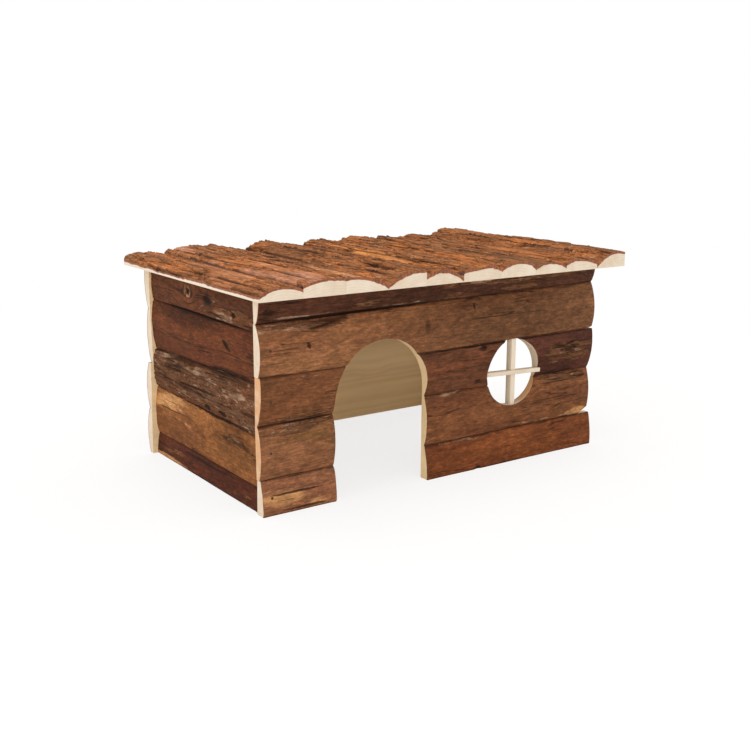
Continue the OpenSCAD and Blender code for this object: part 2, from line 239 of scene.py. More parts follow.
def furrow_group():
    """Notes how deep a furrow with round ends lies under each point. It runs along the log and
    wanders a little."""
    tree, given = new_group("Sink a furrow", (
        ("Across", "Float"), ("Start", "Float"), ("Stop", "Float"), ("Radius", "Float"),
        ("Depth", "Float")))
    sums = Sums(tree)
    log = sums.read("log", "Vector")
    parts = add(tree, "ShaderNodeSeparateXYZ", {0: log}).outputs
    wander = sums.noise(sums.drawn_out(log, 0.3), 60.0, 2.0)
    wander = sums.multiply_add(wander, 2.4 * MM, -1.2 * MM)
    aside = sums.minus(sums.plus(parts[1], wander), given["Across"])
    beyond = sums.larger(sums.minus(given["Start"], parts[0]),
                         sums.minus(parts[0], given["Stop"]), 0.0)
    reach = sums.plus(sums.sum("POWER", aside, 2.0), sums.sum("POWER", beyond, 2.0))
    left = sums.minus(sums.sum("POWER", given["Radius"], 2.0), reach)
    sunk = sums.sum("SQRT", sums.larger(left, 0.0))
    sunk = sums.plus(sums.minus(sunk, given["Radius"]), given["Depth"])
    sunk = sums.larger(sunk, sums.read("sunk"))
    result = note(tree, given["Geometry"], "sunk", sunk)
    return give_back(tree, result)


def bark_relief_group():
    """Raises waves, fibres and two layers of plates on the bark and sinks its furrows and pits,
    all straight out of the wall. The bark falls away at the slab's long edges. The ragged end is
    the one that the slab starts from."""
    tree, given = new_group("Bark relief", (
        ("Bark", "Material"), ("Along", "Vector"), ("Out", "Vector"), ("Wave", "Float"),
        ("Fibre", "Float"), ("Furrow", "Float"), ("Flake", "Float"), ("Rough", "Float"),
        ("Edge", "Float"), ("Ragged", "Float"), ("Sawn end", "Float")))
    sums = Sums(tree)
    log = sums.read("log", "Vector")
    spot = sums.spot()
    long = sums.drawn_out(spot, 0.1)
    short = sums.drawn_out(spot, 0.22, (4.1, 0.3, 1.7))

    wave = sums.noise(sums.drawn_out(spot, 0.3, (0.9, 2.2, 0.1)), 42.0, 2.0)
    fibre = sums.noise(sums.drawn_out(spot, 0.05), 620.0, 3.0, 0.6)
    left_on = sums.noise(short, 26.0, 4.0, 0.6)
    cover = sums.step(sums.plus(left_on, given["Rough"]), 0.98, 1.04)
    painted = sums.read("rough")
    ragged = sums.multiply_add(sums.noise(short, 150.0, 4.0, 0.6), 1.6, -0.8)
    painted = sums.sum("MINIMUM", sums.plus(painted, ragged), sums.multiply(painted, 8.0))
    cover = sums.larger(cover, sums.step(painted, 0.25, 0.4))

    cracks = sums.noise(sums.drawn_out(spot, 0.06, (0.4, 0.1, 0.7)), 85.0, 4.0, 0.55, 0.3)
    broken = sums.step(sums.noise(long, 60.0, 2.0), 0.42, 0.54)
    furrow = sums.multiply(sums.near(cracks, 0.5, 0.05), broken, cover)
    plates = sums.noise(sums.drawn_out(spot, 0.17, (2.3, 5.1, 0.9)), 85.0, 6.0, 0.66, 0.5)
    layer = sums.plus(sums.step(plates, 0.46, 0.49), sums.step(plates, 0.56, 0.59))
    layer = sums.multiply(layer, cover)
    scaly = sums.multiply(sums.minus(sums.noise(short, 330.0, 3.0, 0.6), 0.5), cover)

    height = sums.multiply(sums.minus(wave, 0.5), given["Wave"])
    height = sums.plus(height, sums.multiply(sums.minus(fibre, 0.5), given["Fibre"]))
    height = sums.multiply_add(sums.plus(layer, scaly), given["Flake"], height)
    height = sums.minus(height, sums.multiply(furrow, given["Furrow"]))
    chewed = sums.multiply_add(sums.noise(short, 110.0, 5.0, 0.7), 5 * MM, -2.5 * MM)
    seam = sums.step(sums.plus(sums.read("edge"), chewed), 1.3 * MM, 0.2 * MM)
    height = sums.minus(height, sums.multiply(seam, given["Edge"]))
    height = sums.minus(height, sums.read("sunk"))
    from_end = add(tree, "ShaderNodeSeparateXYZ", {0: log}).outputs[0]
    to_sawn = sums.minus(given["Sawn end"], from_end)
    height = sums.multiply(height, sums.step(to_sawn, 0.0, 9 * MM, 0.3, 1.0),
                           sums.step(sums.read("pressed"), 0.45, 0.0))

    # The painted marks, and how many millimetres each raises or sinks the bark
    for name, low, high, raised_by in (("pressed", 0.3, 0.6, -0.5), ("pit", 0.1, 0.8, -1.3),
                                       ("raised", 0.0, 2.0, 4), ("knot", 0.5, 0.8, -1.2)):
        height = sums.plus(height, sums.step(sums.read(name), low, high, 0.0, raised_by * MM))

    on_bark = add(tree, "GeometryNodeMaterialSelection", {"Material": given["Bark"]}).outputs[0]
    raised = add(tree, "GeometryNodeSetPosition", {
        "Geometry": given["Geometry"], "Selection": on_bark,
        "Offset": sums.scaled(given["Out"], height)}).outputs[0]

    torn_back = sums.noise(sums.drawn_out(spot, 0.0, (1.1, 0.2, 0.4)), 190.0, 5.0, 0.7)
    torn_back = sums.multiply(sums.step(torn_back, 0.35, 0.7),
                              sums.step(from_end, 7 * MM, 0.5 * MM), given["Ragged"])
    result = add(tree, "GeometryNodeSetPosition", {
        "Geometry": raised, "Offset": sums.scaled(given["Along"], torn_back)}).outputs[0]
    for name, value in (("furrow", furrow), ("layer", layer), ("cover", cover), ("seam", seam)):
        result = note(tree, result, name, value)
    return give_back(tree, result)


LOG_PLACE = log_place_group()
PAINT = paint_group()
KNOT = knot_group()
FURROW = furrow_group()
BARK_RELIEF = bark_relief_group()


def rgb(red, green, blue):
    """A colour as a paint chart gives it, from 0 to 255, turned into the light it reflects."""
    def light(value):
        value /= 255
        return value / 12.92 if value <= 0.04045 else ((value + 0.055) / 1.055) ** 2.4
    return (light(red), light(green), light(blue), 1.0)


def new_material(name, roughness):
    """An empty material: itself, its node tree and its shader."""
    material = bpy.data.materials.new(name)
    material.use_nodes = True
    shader = material.node_tree.nodes["Principled BSDF"]
    shader.inputs["Roughness"].default_value = roughness
    return material, material.node_tree, shader


def shade_by(sums, colour, factor):
    """Darkens or lightens a colour by a factor."""
    grey = add(sums.tree, "ShaderNodeCombineColor", {0: factor, 1: factor, 2: factor}).outputs[0]
    return sums.blend(1.0, colour, grey, "MULTIPLY")


def bump(sums, shader, height, depth):
    """Makes a pattern stand out on a surface, by depth in millimetres."""
    feeds = {"Height": height, "Strength": 1.0, "Distance": depth * MM}
    node = add(sums.tree, "ShaderNodeBump", feeds)
    sums.tree.links.new(node.outputs[0], shader.inputs["Normal"])


def sawn_wood(name, light, dark, bark_line, bark_share=1.0):
    """Bare sawn wood. The log's growth rings show as faint arcs on end grain and as long streaks
    on a flat face, and a cut through the bark leaves a dark line. Painted sapwood is tan."""
    sapwood = rgb(206, 156, 108)
    material, tree, shader = new_material(name, 0.6)
    sums = Sums(tree)
    spot = sums.spot()
    across = sums.vector("MULTIPLY", sums.read("log", "Vector"), (0.0, 1.0, 1.0))
    from_heart = sums.vector("LENGTH", across)
    drift = sums.noise(sums.drawn_out(spot, 0.1), 20.0, 2.0)
    ring = sums.sum("FRACT", sums.multiply_add(from_heart, 420.0, sums.multiply(drift, 2.0)))
    ring = sums.multiply(sums.step(ring, 0.1, 0.8), sums.step(ring, 1.0, 0.85))
    pores = sums.noise(sums.drawn_out(spot, 0.04), 1000.0, 4.0, 0.65)
    streak = sums.noise(sums.drawn_out(spot, 0.03), 120.0, 4.0, 0.55)
    broad = sums.noise(sums.drawn_out(spot, 0.05, (3.0, 1.0, 2.0)), 34.0, 2.0)
    tone = sums.multiply(ring, 0.16)
    for pattern, middle, share in ((streak, 0.3, 0.8), (broad, 0.4, 0.9), (pores, 0.5, 0.4)):
        tone = sums.multiply_add(sums.minus(pattern, middle), share, tone)
    colour = sums.blend(sums.step(tone, -0.15, 0.95), light, dark)
    sap = sums.multiply(sums.step(sums.read("sap"), 0.0, 0.5),
                        sums.step(streak, 0.3, 0.6, 0.6, 1.0))
    colour = sums.blend(sap, colour, sapwood)

    thick = sums.multiply(sums.read("bark_thick"), bark_share)
    ragged = sums.multiply_add(sums.noise(spot, 250.0, 3.0), 0.6, -0.3)
    depth = sums.minus(sums.read("log_radius"), from_heart)
    depth = sums.multiply_add(ragged, thick, depth)
    in_bark = sums.step(depth, thick, sums.multiply(thick, 0.8))
    crumbs = sums.step(sums.noise(spot, 420.0, 4.0, 0.7), 0.3, 0.7, 0.45, 1.6)
    colour = sums.blend(in_bark, colour, shade_by(sums, bark_line, crumbs))
    tree.links.new(colour, shader.inputs["Base Color"])
    bump(sums, shader, sums.multiply_add(streak, 0.5, pores), 0.12)
    return material


def bark(name, inner, crust, fleck, warm, dark, shine, depth):
    """Bark. Where its outer layers have come off it is smooth and long fibred, in the slab's own
    two colours, with flecks tinted by warm. Where they are left they lie in plates: the inner
    one still warm, the crust on top of it grey and flecked. Furrows, cracks, pits, seams and the
    rims of the plates are painted dark, as the shade that lies in them. depth is how strongly
    its fibres stand out, where 1 is old furrowed bark."""
    tan_wood, knot_wood = rgb(192, 140, 90), rgb(196, 138, 92)
    dull, glint = (0.9, 0.9, 0.9, 1.0), (shine, shine, shine, 1.0)
    material, tree, shader = new_material(name, 0.8)
    sums = Sums(tree)
    spot = sums.spot()
    fibres = sums.noise(sums.drawn_out(spot, 0.07), 1300.0, 4.0, 0.7)
    strands = sums.noise(sums.drawn_out(spot, 0.09, (3.0, 1.0, 2.0)), 260.0, 6.0, 0.72, 0.3)
    patches = sums.noise(sums.drawn_out(spot, 0.3, (1.0, 4.0, 2.0)), 34.0, 3.0, 0.55)
    mottle = sums.noise(sums.drawn_out(spot, 0.55, (2.0, 1.0, 5.0)), 120.0, 6.0, 0.7)
    grit = sums.noise(sums.drawn_out(spot, 0.36, (6.0, 3.0, 4.0)), 430.0, 5.0, 0.75)
    grime = sums.noise(sums.drawn_out(spot, 0.25, (8.0, 3.0, 1.0)), 60.0, 5.0, 0.65)
    fade = sums.noise(sums.drawn_out(spot, 0.3, (3.0, 7.0, 1.0)), 24.0, 2.0)
    flecks = sums.noise(sums.drawn_out(spot, 0.3, (5.0, 2.0, 1.0)), 260.0, 6.0, 0.72, 0.4)
    streaks = sums.noise(sums.drawn_out(spot, 0.18, (7.0, 1.0, 3.0)), 230.0, 7.0, 0.75, 0.12)
    specks = sums.noise(sums.drawn_out(spot, 0.4, (9.0, 2.0, 4.0)), 420.0, 3.0, 0.6)
    cracks = sums.noise(sums.drawn_out(spot, 0.045, (1.0, 6.0, 2.0)), 120.0, 3.0, 0.5, 0.2)
    cracked = sums.noise(sums.drawn_out(spot, 0.3, (6.0, 6.0, 1.0)), 55.0, 2.0)

    # Smooth bark
    colour = sums.blend(sums.step(patches, 0.42, 0.58), sums.read("main", "Color"),
                        sums.read("second", "Color"))
    tinted = sums.blend(1.0, colour, warm, "MULTIPLY")
    colour = sums.blend(sums.step(grit, 0.5, 0.68, 0.0, 0.5), colour, tinted)
    tone = sums.multiply(
        sums.step(fibres, 0.25, 0.75, 1 - 0.36 * depth, 1 + 0.36 * depth),
        sums.step(strands, 0.28, 0.72, 1 - 0.3 * depth, 1 + 0.3 * depth),
        sums.step(mottle, 0.3, 0.7, 0.8, 1.2), sums.step(grit, 0.3, 0.7, 0.7, 1.3),
        sums.step(fade, 0.3, 0.7, 0.9, 1.1), sums.step(sums.read("shade"), 0.0, 0.7, 1.0, 0.5))
    colour = shade_by(sums, colour, tone)
    colour = sums.blend(sums.step(grime, 0.42, 0.28, 0.0, 0.6 * depth), colour, dark)

    # The plates that are left on it
    cover = sums.read("cover")
    layer = sums.read("layer")
    grain = sums.step(fibres, 0.25, 0.75, 0.6, 1.4)
    colour = sums.blend(sums.multiply(cover, 0.85), colour, shade_by(sums, inner, tone))
    first = sums.multiply(sums.step(layer, 0.2, 0.9), 0.45)
    second = sums.multiply(sums.step(layer, 1.0, 1.9), sums.step(mottle, 0.34, 0.56, 0.3, 1.0))
    colour = sums.blend(sums.larger(second, first), colour, shade_by(sums, crust, grain))
    pale = sums.multiply(cover, sums.step(flecks, 0.58, 0.68, 0.0, 0.75))
    colour = sums.blend(pale, colour, fleck)
    # Painted shade along the rims of the plates, where they step down; the dark flecks are the
    # bark's own
    rim = sums.larger(sums.near(layer, 0.45, 0.4), sums.near(layer, 1.45, 0.4))
    for shade in (sums.multiply(cover, sums.step(flecks, 0.42, 0.32, 0.0, 0.85)),
                  sums.multiply(rim, 0.6)):
        colour = sums.blend(shade, colour, dark)

    # Torn fibres, tan wood that shows through, and stains, which along the seams are painted shade
    torn = sums.multiply(sums.patch("torn", 0.18, streaks, 0.6, 0.7, 0.2),
                         sums.step(mottle, 0.36, 0.6, 0.1, 0.75))
    colour = sums.blend(torn, colour, shade_by(sums, fleck, grain))
    tan = sums.multiply(sums.patch("tan", 0.6, streaks, 0.58, 0.86, 0.15), 0.85)
    colour = sums.blend(tan, colour, shade_by(sums, tan_wood, tone))
    stain = sums.multiply(sums.patch("stain", 0.5, streaks, 0.7, 0.8, 0.2), 0.85)

    # Dark marks: stains, specks and the rims of knots. And painted shade in all that lies deep:
    # cracks, furrows, pits and seams
    cracks = sums.multiply(sums.near(cracks, 0.5, 0.014), sums.step(cracked, 0.52, 0.6))
    sunk = sums.multiply(sums.step(sums.read("sunk"), 0.3 * MM, 1.2 * MM),
                         sums.step(mottle, 0.3, 0.55, 0.4, 0.85))
    broken = sums.minus(mottle, 0.5)
    pit = sums.step(sums.multiply_add(broken, 1.4, sums.read("pit")), 0.2, 0.42, 0.0, 0.9)
    pit = sums.multiply(pit, sums.step(sums.read("pit"), 0.0, 0.1))
    # Painted shade in the valleys where the slabs meet at a seam
    seam_shade = sums.multiply(sums.read("seam"), sums.step(streaks, 0.35, 0.6, 0.85, 0.25))
    knot = sums.multiply_add(broken, 1.7, sums.read("knot"))
    knot = sums.multiply(knot, sums.step(sums.read("knot"), 0.0, 0.1))
    for shade in (stain, sums.multiply(cracks, 0.75), sums.step(specks, 0.7, 0.76, 0.0, 0.6),
                  sums.multiply(sums.read("furrow"), 0.85), sunk, pit, seam_shade,
                  sums.step(knot, 0.05, 0.4, 0.0, 0.8)):
        colour = sums.blend(shade, colour, dark)
    ring = sums.multiply(sums.near(knot, 0.5, 0.32), sums.step(grit, 0.38, 0.55, 0.1, 0.95))
    colour = sums.blend(ring, colour, knot_wood)
    tree.links.new(colour, shader.inputs["Base Color"])
    tree.links.new(sums.blend(cover, glint, dull), shader.inputs["Roughness"])
    shader.inputs["Specular IOR Level"].default_value = 0.07

    height = sums.multiply_add(strands, 0.9, fibres)
    height = sums.multiply_add(sums.multiply(flecks, cover), 1.5, height)
    height = sums.multiply_add(sums.plus(mottle, grit), 0.7, height)
    height = sums.multiply_add(cracks, -1.2, height)
    bump(sums, shader, height, 0.3 + 0.4 * depth)
    return material


BARE_WOOD = sawn_wood(
    "Sawn wood", rgb(224, 209, 189), rgb(203, 180, 151), rgb(130, 70, 33), 0.85)
# A lighter, yellower copy of the sawn wood, as painted light for the inside of the house and the
# doorways' sides
INSIDE_WOOD_LIT = sawn_wood(
    "Sawn wood inside, painted light", rgb(252, 226, 180), rgb(224, 190, 140), rgb(108, 58, 30))
# A darker copy of the sawn wood, as painted shade on the slabs' sides that lie in the seams
SEAM_WOOD_SHADED = sawn_wood(
    "Sawn wood at a seam, painted shade", rgb(206, 172, 132), rgb(150, 112, 76), rgb(84, 46, 26), 1.3)
WALL_BARK = bark(
    "Wall bark", inner=rgb(110, 70, 45), crust=rgb(106, 74, 53), fleck=rgb(176, 143, 117),
    warm=(1.5, 1.35, 1.2, 1), dark=rgb(40, 24, 15), shine=0.66, depth=0.5)


class Wall:
    """Where the slabs of one wall stand. A slab is sawn on a bench, lying on its flat face with
    its length along X and its lower edge towards -Y, and is then stood in its wall. across is
    the way from its lower to its upper edge, and out the way that the bark faces. face and
    bark_face say how far out its flat faces and its bark lie."""

    def __init__(self, across, out, face, bark_face):
        self.across, self.out = Vector(across), Vector(out)
        self.along = self.across.cross(self.out)
        turn = Matrix((self.along, self.across, self.out)).transposed().to_4x4()
        self.place = Matrix.Translation(self.out * face * MM) @ turn
        self.bark_face = bark_face

    def on_bark(self, first, second):
        """A point on the bark, from its two coordinates in the wall."""
        point = [first, second]
        facing = [abs(way) > 0.5 for way in self.out].index(True)
        point.insert(facing, self.out[facing] * self.bark_face)
        return Vector(point) * MM


def alone(piece):
    """Selects one piece only, and makes it the active one."""
    bpy.ops.object.select_all(action="DESELECT")
    piece.select_set(True)
    bpy.context.view_layer.objects.active = piece


def saw_off(point, side, fill=True):
    """Saws what is being edited through a plane, and drops what lies on the given side."""
    bpy.ops.mesh.select_all(action="SELECT")
    bpy.ops.mesh.bisect(
        plane_co=[c * MM for c in point], plane_no=Vector(side).normalized(), clear_outer=True,
        use_fill=fill)


def select_long_edges(piece):
    """Selects the edges that run along the bench."""
    bpy.ops.object.mode_set(mode="OBJECT")
    points = piece.data.vertices
    for face in piece.data.polygons:
        face.select = False
    for edge in piece.data.edges:
        start, end = (points[i].co for i in edge.vertices)
        edge.select = abs(end.x - start.x) > 0.9 * (end - start).length
    bpy.context.tool_settings.mesh_select_mode = (False, True, False)
    bpy.ops.object.mode_set(mode="EDIT")


def apply_nodes(piece, group, values):
    """Runs a modifier made of nodes over a piece and applies it, with those of the values that
    it asks for."""
    alone(piece)
    modifier = piece.modifiers.new(group.name, "NODES")
    modifier.node_group = group
    for socket in group.interface.items_tree:
        if socket.name in values:
            modifier[socket.identifier] = values[socket.name]
    bpy.ops.object.modifier_apply(modifier=modifier.name)


def seam_at(seam, span, place):
    """The height of a sloping seam at a place along its wall. seam is its height at both ends
    of the span."""
    return seam[0] + (seam[1] - seam[0]) * (place - span[0]) / (span[1] - span[0])


BARK, BARE, SEAM_SHADED, INSIDE_LIT = range(4)      # the numbers of a slab's materials
OVERLONG = 2         # how far a slab is left over-long before its ends are trimmed
SMOOTH_UNDER = 50    # the angle, in degrees, under which its faces are shaded as one


def saw_slab(name, wall, span, seams, ends, thick, torn=None, skin=None, hidden=("low", "high")):
    """Saws one slab and stands it in its wall. seams are its lower and its upper edge, each at
    both ends of the span. ends are its own two ends, each at its lower and its upper edge.
    thick is its thickness at its lower edge, at its crown and at its upper edge. hidden names
    the long sides that lie in a seam. Returns the slab, and how it lay in its log."""
    start, stop = min(ends[0]) - OVERLONG, max(ends[1]) + OVERLONG
    lower, upper = [[seam_at(seam, span, place) for place in (start, stop)] for seam in seams]
    falls = [math.sqrt(thick[1] - thick[0]), math.sqrt(thick[1] - thick[2])]
    widths = [upper[0] - lower[0], upper[1] - lower[1]]
    share = falls[0] / sum(falls)
    radius = ((widths[0] / sum(falls)) ** 2 + max(falls) ** 2) / 2
    crowns = [lower[i] + widths[i] * share for i in (0, 1)]
    heart = Vector((start, crowns[0], thick[1] - radius)) * MM

    # The end of the log, cut down to the outline of the slab
    bpy.ops.object.select_all(action="DESELECT")
    bpy.ops.mesh.primitive_circle_add(
        vertices=int(2 * math.pi * radius / BARK_STEP), radius=radius * MM, fill_type="NGON",
        location=heart, rotation=(0, math.pi / 2, 0))
    piece = bpy.context.object
    piece.name = name
    bpy.ops.object.transform_apply(location=True, rotation=True, scale=True)
    bpy.ops.object.mode_set(mode="EDIT")
    saw_off((0, 0, 0), (0, 0, -1), fill=False)
    saw_off((0, lower[0], 0), (0, -1, 0), fill=False)
    saw_off((0, upper[0], 0), (0, 1, 0), fill=False)

    # The slab's length and its taper, and its ends trimmed
    bpy.ops.mesh.select_all(action="SELECT")
    bpy.ops.mesh.extrude_region_move(TRANSFORM_OT_translate={"value": ((stop - start) * MM, 0, 0)})
    bpy.ops.transform.resize(value=(1, widths[1] / widths[0], 1), center_override=heart)
    bpy.ops.transform.translate(value=(0, (crowns[1] - crowns[0]) * MM, 0))
    saw_off((ends[0][0], lower[0], 0), (-widths[0], ends[0][1] - ends[0][0], 0))
    saw_off((ends[1][0], lower[1], 0), (widths[1], ends[1][0] - ends[1][1], 0))
    rings = max(2, round(math.sqrt((stop - start) / RING_STEP)))
    for _ in range(2):
        select_long_edges(piece)
        bpy.ops.mesh.subdivide(number_cuts=rings - 1)
    if torn:
        saw_off((ends[1][0] - torn[0], lower[1], 0), (torn[1], -torn[0], 0))
    bpy.ops.mesh.select_all(action="SELECT")
    bpy.ops.mesh.normals_make_consistent(inside=False)
    bpy.ops.object.mode_set(mode="OBJECT")

    # Bark on the crown, bare wood on all that was sawn, a darker copy of that wood as painted
    # shade in the seams, and a lighter, yellower copy as painted light on the flat face inside
    for material in (skin or WALL_BARK, BARE_WOOD, SEAM_WOOD_SHADED, INSIDE_WOOD_LIT):
        piece.data.materials.append(material)
    for face in piece.data.polygons:
        if face.normal.z > 0.5:
            face.material_index = BARK
        elif face.normal.z < -0.9:
            face.material_index = INSIDE_LIT
        elif face.normal.y < -0.9 and "low" in hidden or face.normal.y > 0.9 and "high" in hidden:
            face.material_index = SEAM_SHADED
        else:
            face.material_index = BARE
    piece.matrix_world = wall.place
    alone(piece)
    bpy.ops.object.transform_apply(location=True, rotation=True, scale=True)
    length = (stop - start) * MM
    log = {"Heart": wall.place @ heart, "Along": wall.along, "Across": wall.across,
           "Out": wall.out, "Slope": (crowns[1] - crowns[0]) * MM / length,
           "Taper": (widths[1] / widths[0] - 1) / length,
           "Low": (lower[0] - crowns[0]) * MM, "High": (upper[0] - crowns[0]) * MM,
           "Log radius": radius * MM, "wall": wall, "start": start, "crown_share": share,
           "width": sum(widths) / 2, "sawn_end": min(ends[1]) - start}
    return piece, log


def carve(piece, cutter):
    """Cuts a piece with a cutter. The cut faces take the cutter's material number."""
    alone(piece)
    modifier = piece.modifiers.new("Cut", "BOOLEAN")
    modifier.object = cutter
    modifier.operation = "DIFFERENCE"
    modifier.solver = "EXACT"
    bpy.ops.object.modifier_apply(modifier=modifier.name)


def paint(piece, log, name, at, long, wide, tilt=0, strength=1.0):
    """Paints an oval patch on a slab. long and wide are its half axes, and tilt turns it, in
    degrees, up towards the slab's far end."""
    turn = math.radians(tilt)
    reach = log["Along"] * math.cos(turn) + log["Across"] * math.sin(turn)
    width = log["Across"] * math.cos(turn) - log["Along"] * math.sin(turn)
    apply_nodes(piece, PAINT, {
        "Name": name, "Middle": at, "Reach": reach / (long * MM), "Width": width / (wide * MM),
        "Strength": strength})


def grow_knot(piece, log, at, long, wide):
    """Grows a knot on a slab. long and wide are its half axes."""
    off = at - log["Heart"]
    along = off.dot(log["Along"])
    across = (off.dot(log["Across"]) - along * log["Slope"]) / (1 + along * log["Taper"])
    apply_nodes(piece, KNOT, {
        "Along": along, "Across": across, "Long": long * MM, "Wide": wide * MM})


def sink_furrow(piece, log, span, place, radius, deep):
    """Sinks a furrow along a slab. place is how far across the slab it lies and where along the
    span it starts and ends, as shares."""
    run = span[1] - span[0]
    along = [(span[0] + share * run - log["start"]) * MM for share in place[1:]]
    apply_nodes(piece, FURROW, {
        "Across": (place[0] - log["crown_share"]) * log["width"] * MM, "Start": along[0],
        "Stop": along[1], "Radius": radius * MM, "Depth": deep * MM})


def finish_slab(piece, node, slot, log, seed, main, second, marks=(), furrows=(), span=(),
                bark_thick=0.9, wave=1.6, fibre=0.35, furrow=0.9, flake=0.5, rough=0.42,
                edge=0.7, ragged=0.0):
    """Gives a slab its bark, and puts it in the place of its CAD node. A mark is its kind, its
    two coordinates in the wall, its two half axes, and if need be its tilt and its strength. It
    is a knot, or a painted patch: rough bark, torn fibres, tan wood, sapwood, a stain, which
    along a seam is painted shade, a shade, a pit, painted dark as shade, a raised place or one
    that a nail has pressed in. rough is how much of the rough outer bark is left on the slab,
    where 0.3 is next to none and 0.8 all of it."""
    piece.name = node + "_bark"
    apply_nodes(piece, LOG_PLACE, dict(log, Bark=bark_thick * MM, Seed=float(seed), **{
        "Main colour": rgb(*main), "Second colour": rgb(*second)}))
    for kind, first, other, long, wide, *more in marks:
        at = log["wall"].on_bark(first, other)
        if kind == "knot":
            grow_knot(piece, log, at, long, wide)
        else:
            paint(piece, log, kind, at, long, wide, *more)
    for place, radius, deep in furrows:
        sink_furrow(piece, log, span, place, radius, deep)
    apply_nodes(piece, BARK_RELIEF, {
        "Bark": piece.data.materials[0], "Along": log["Along"], "Out": log["Out"],
        "Wave": wave * MM, "Fibre": fibre * MM, "Furrow": furrow * MM, "Flake": flake * MM,
        "Rough": rough, "Edge": edge * MM, "Ragged": ragged * MM,
        "Sawn end": log["sawn_end"] * MM})
    bpy.ops.object.shade_smooth_by_angle(angle=math.radians(SMOOTH_UNDER))
    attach(piece, "root")
    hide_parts(node)


NAIL_PRESS = (3, 3)      # the half axes of the place that a nail presses in


def nail_marks(span, seams, places, mirrored=1):
    """Where nails press into a slab, halfway between its seams. mirrored is -1 where the slab
    lay on the bench with its length against the wall's own axis."""
    heights = [sum(seam_at(seam, span, mirrored * x) for seam in seams) / 2 for x in places]
    return [("pressed", x, height, *NAIL_PRESS) for x, height in zip(places, heights)]


# The ends of the front panel, and the height of each seam at them. Then for each course, from
# the floor up: its thickness at its lower edge, its crown and its upper edge, where its own two
# ends are at its lower and its upper edge, and how much is torn off its lower right corner
PANEL = (-187, 185)
PANEL_NAILS = (-177.5, 175.5)
FRONT = Wall((0, 0, 1), (0, -1, 0), 100, 111)
FRONT_SEAMS = [(0, 0), (30, 32), (76, 79), (117, 119), (160, 165), (183, 183)]
FRONT_THICK = [(11, 11, 6.5), (5.5, 9, 4.5), (4.5, 10.5, 9), (7.5, 11, 4.5), (4.5, 10, 10)]
FRONT_ENDS = [((-186.5, -186), (189, 190)), ((-186.5, -187), (186, 186)),
              ((-187, -186.5), (186.5, 187)), ((-187, -187), (187, 187)),
              ((-186.5, -187), (187, 186.5))]
FRONT_TORN = [None, (10, 7), None, (8, 2), None]
FRONT_SEED = 1           # a slab's seed moves its grain on in the patterns of bark and wood
FRONT_CUT_Y, CUT_DEPTH, CUT_SIDES = -105, 20, 128
DOOR_X, DOOR_WIDTH, DOOR_HEIGHT = -66.5, 98, 136.5
WINDOW_X, WINDOW_Z, WINDOW_WIDTH = 84, 87.5, 64


def new_round_cut(place, width, turn, wood):
    """A round bar that lies straight through a wall. turn is a right angle for a wall that runs
    from front to back, and wood the number of the wood that its cut lays bare."""
    bpy.ops.object.select_all(action="DESELECT")
    bpy.ops.mesh.primitive_cylinder_add(
        vertices=CUT_SIDES, radius=width / 2 * MM, depth=CUT_DEPTH * MM,
        location=Vector(place) * MM, rotation=(math.pi / 2, 0, turn))
    bpy.ops.object.transform_apply(location=True, rotation=True, scale=True)
    cut = bpy.context.object
    for face in cut.data.polygons:
        face.material_index = wood
    return cut


def new_doorway_cut(x, y, turn):
    """The saw cut of an arched doorway: a round bar whose lower half is flattened and pulled
    down below the floor."""
    spring = DOOR_HEIGHT - DOOR_WIDTH / 2
    # Its cut lays bare the lighter inside wood, painted light on the doorway's sides
    cut = new_round_cut((x, y, spring), DOOR_WIDTH, turn, INSIDE_LIT)
    for vertex in cut.data.vertices:
        vertex.select = vertex.co.z < (spring - 0.1) * MM
    for edge in cut.data.edges:
        edge.select = all(cut.data.vertices[i].select for i in edge.vertices)
    for face in cut.data.polygons:
        face.select = False
    bpy.context.tool_settings.mesh_select_mode = (True, False, False)
    bpy.ops.object.mode_set(mode="EDIT")
    bpy.ops.transform.resize(value=(1, 1, 0), center_override=Vector((x, y, -1)) * MM)
    bpy.ops.object.mode_set(mode="OBJECT")
    return cut


def split_course(slab, count, along):
    """Parts a course that a doorway has cut through, and returns its pieces in their order
    along the wall's axis."""
    alone(slab)
    if count > 1:
        bpy.ops.object.mode_set(mode="EDIT")
        bpy.ops.mesh.select_all(action="SELECT")
        bpy.ops.mesh.separate(type="LOOSE")
        bpy.ops.object.mode_set(mode="OBJECT")
    return sorted(bpy.context.selected_objects, key=lambda part: part.bound_box[0][along])


doorway_cut = new_doorway_cut(DOOR_X, FRONT_CUT_Y, 0)
window_cut = new_round_cut((WINDOW_X, FRONT_CUT_Y, WINDOW_Z), WINDOW_WIDTH, 0, BARE)

# The window's two sticks: the middle, size and turn of each, and the way that its half of the
# lap faces. Their ends are let into the slabs round the window, with a little play.
STICKS = [("window_upright", (85.5, -103.5, 87.5), (5.5, 7, 68), (0, 0, 0), -1),
          ("window_crossbar", (84, -105.5, 87), (68, 6, 4), (0, 2, -2), 1)]
STICK_PLAY = 0.2


def new_stick(middle, size, turn, play=0):
    """A square stick as a plain block. turn is in degrees."""
    bpy.ops.object.select_all(action="DESELECT")
    bpy.ops.mesh.primitive_cube_add(
        size=1, location=Vector(middle) * MM, rotation=[math.radians(angle) for angle in turn],
        scale=[(length + play) * MM for length in size])
    bpy.ops.object.transform_apply(location=True, rotation=True, scale=True)
    return bpy.context.object


seats = [new_stick(middle, size, turn, STICK_PLAY) for _, middle, size, turn, _ in STICKS]
stick_cut = seats[0]
stick_cut.select_set(True)
bpy.context.view_layer.objects.active = stick_cut
bpy.ops.object.join()
for face in stick_cut.data.polygons:
    face.material_index = BARE

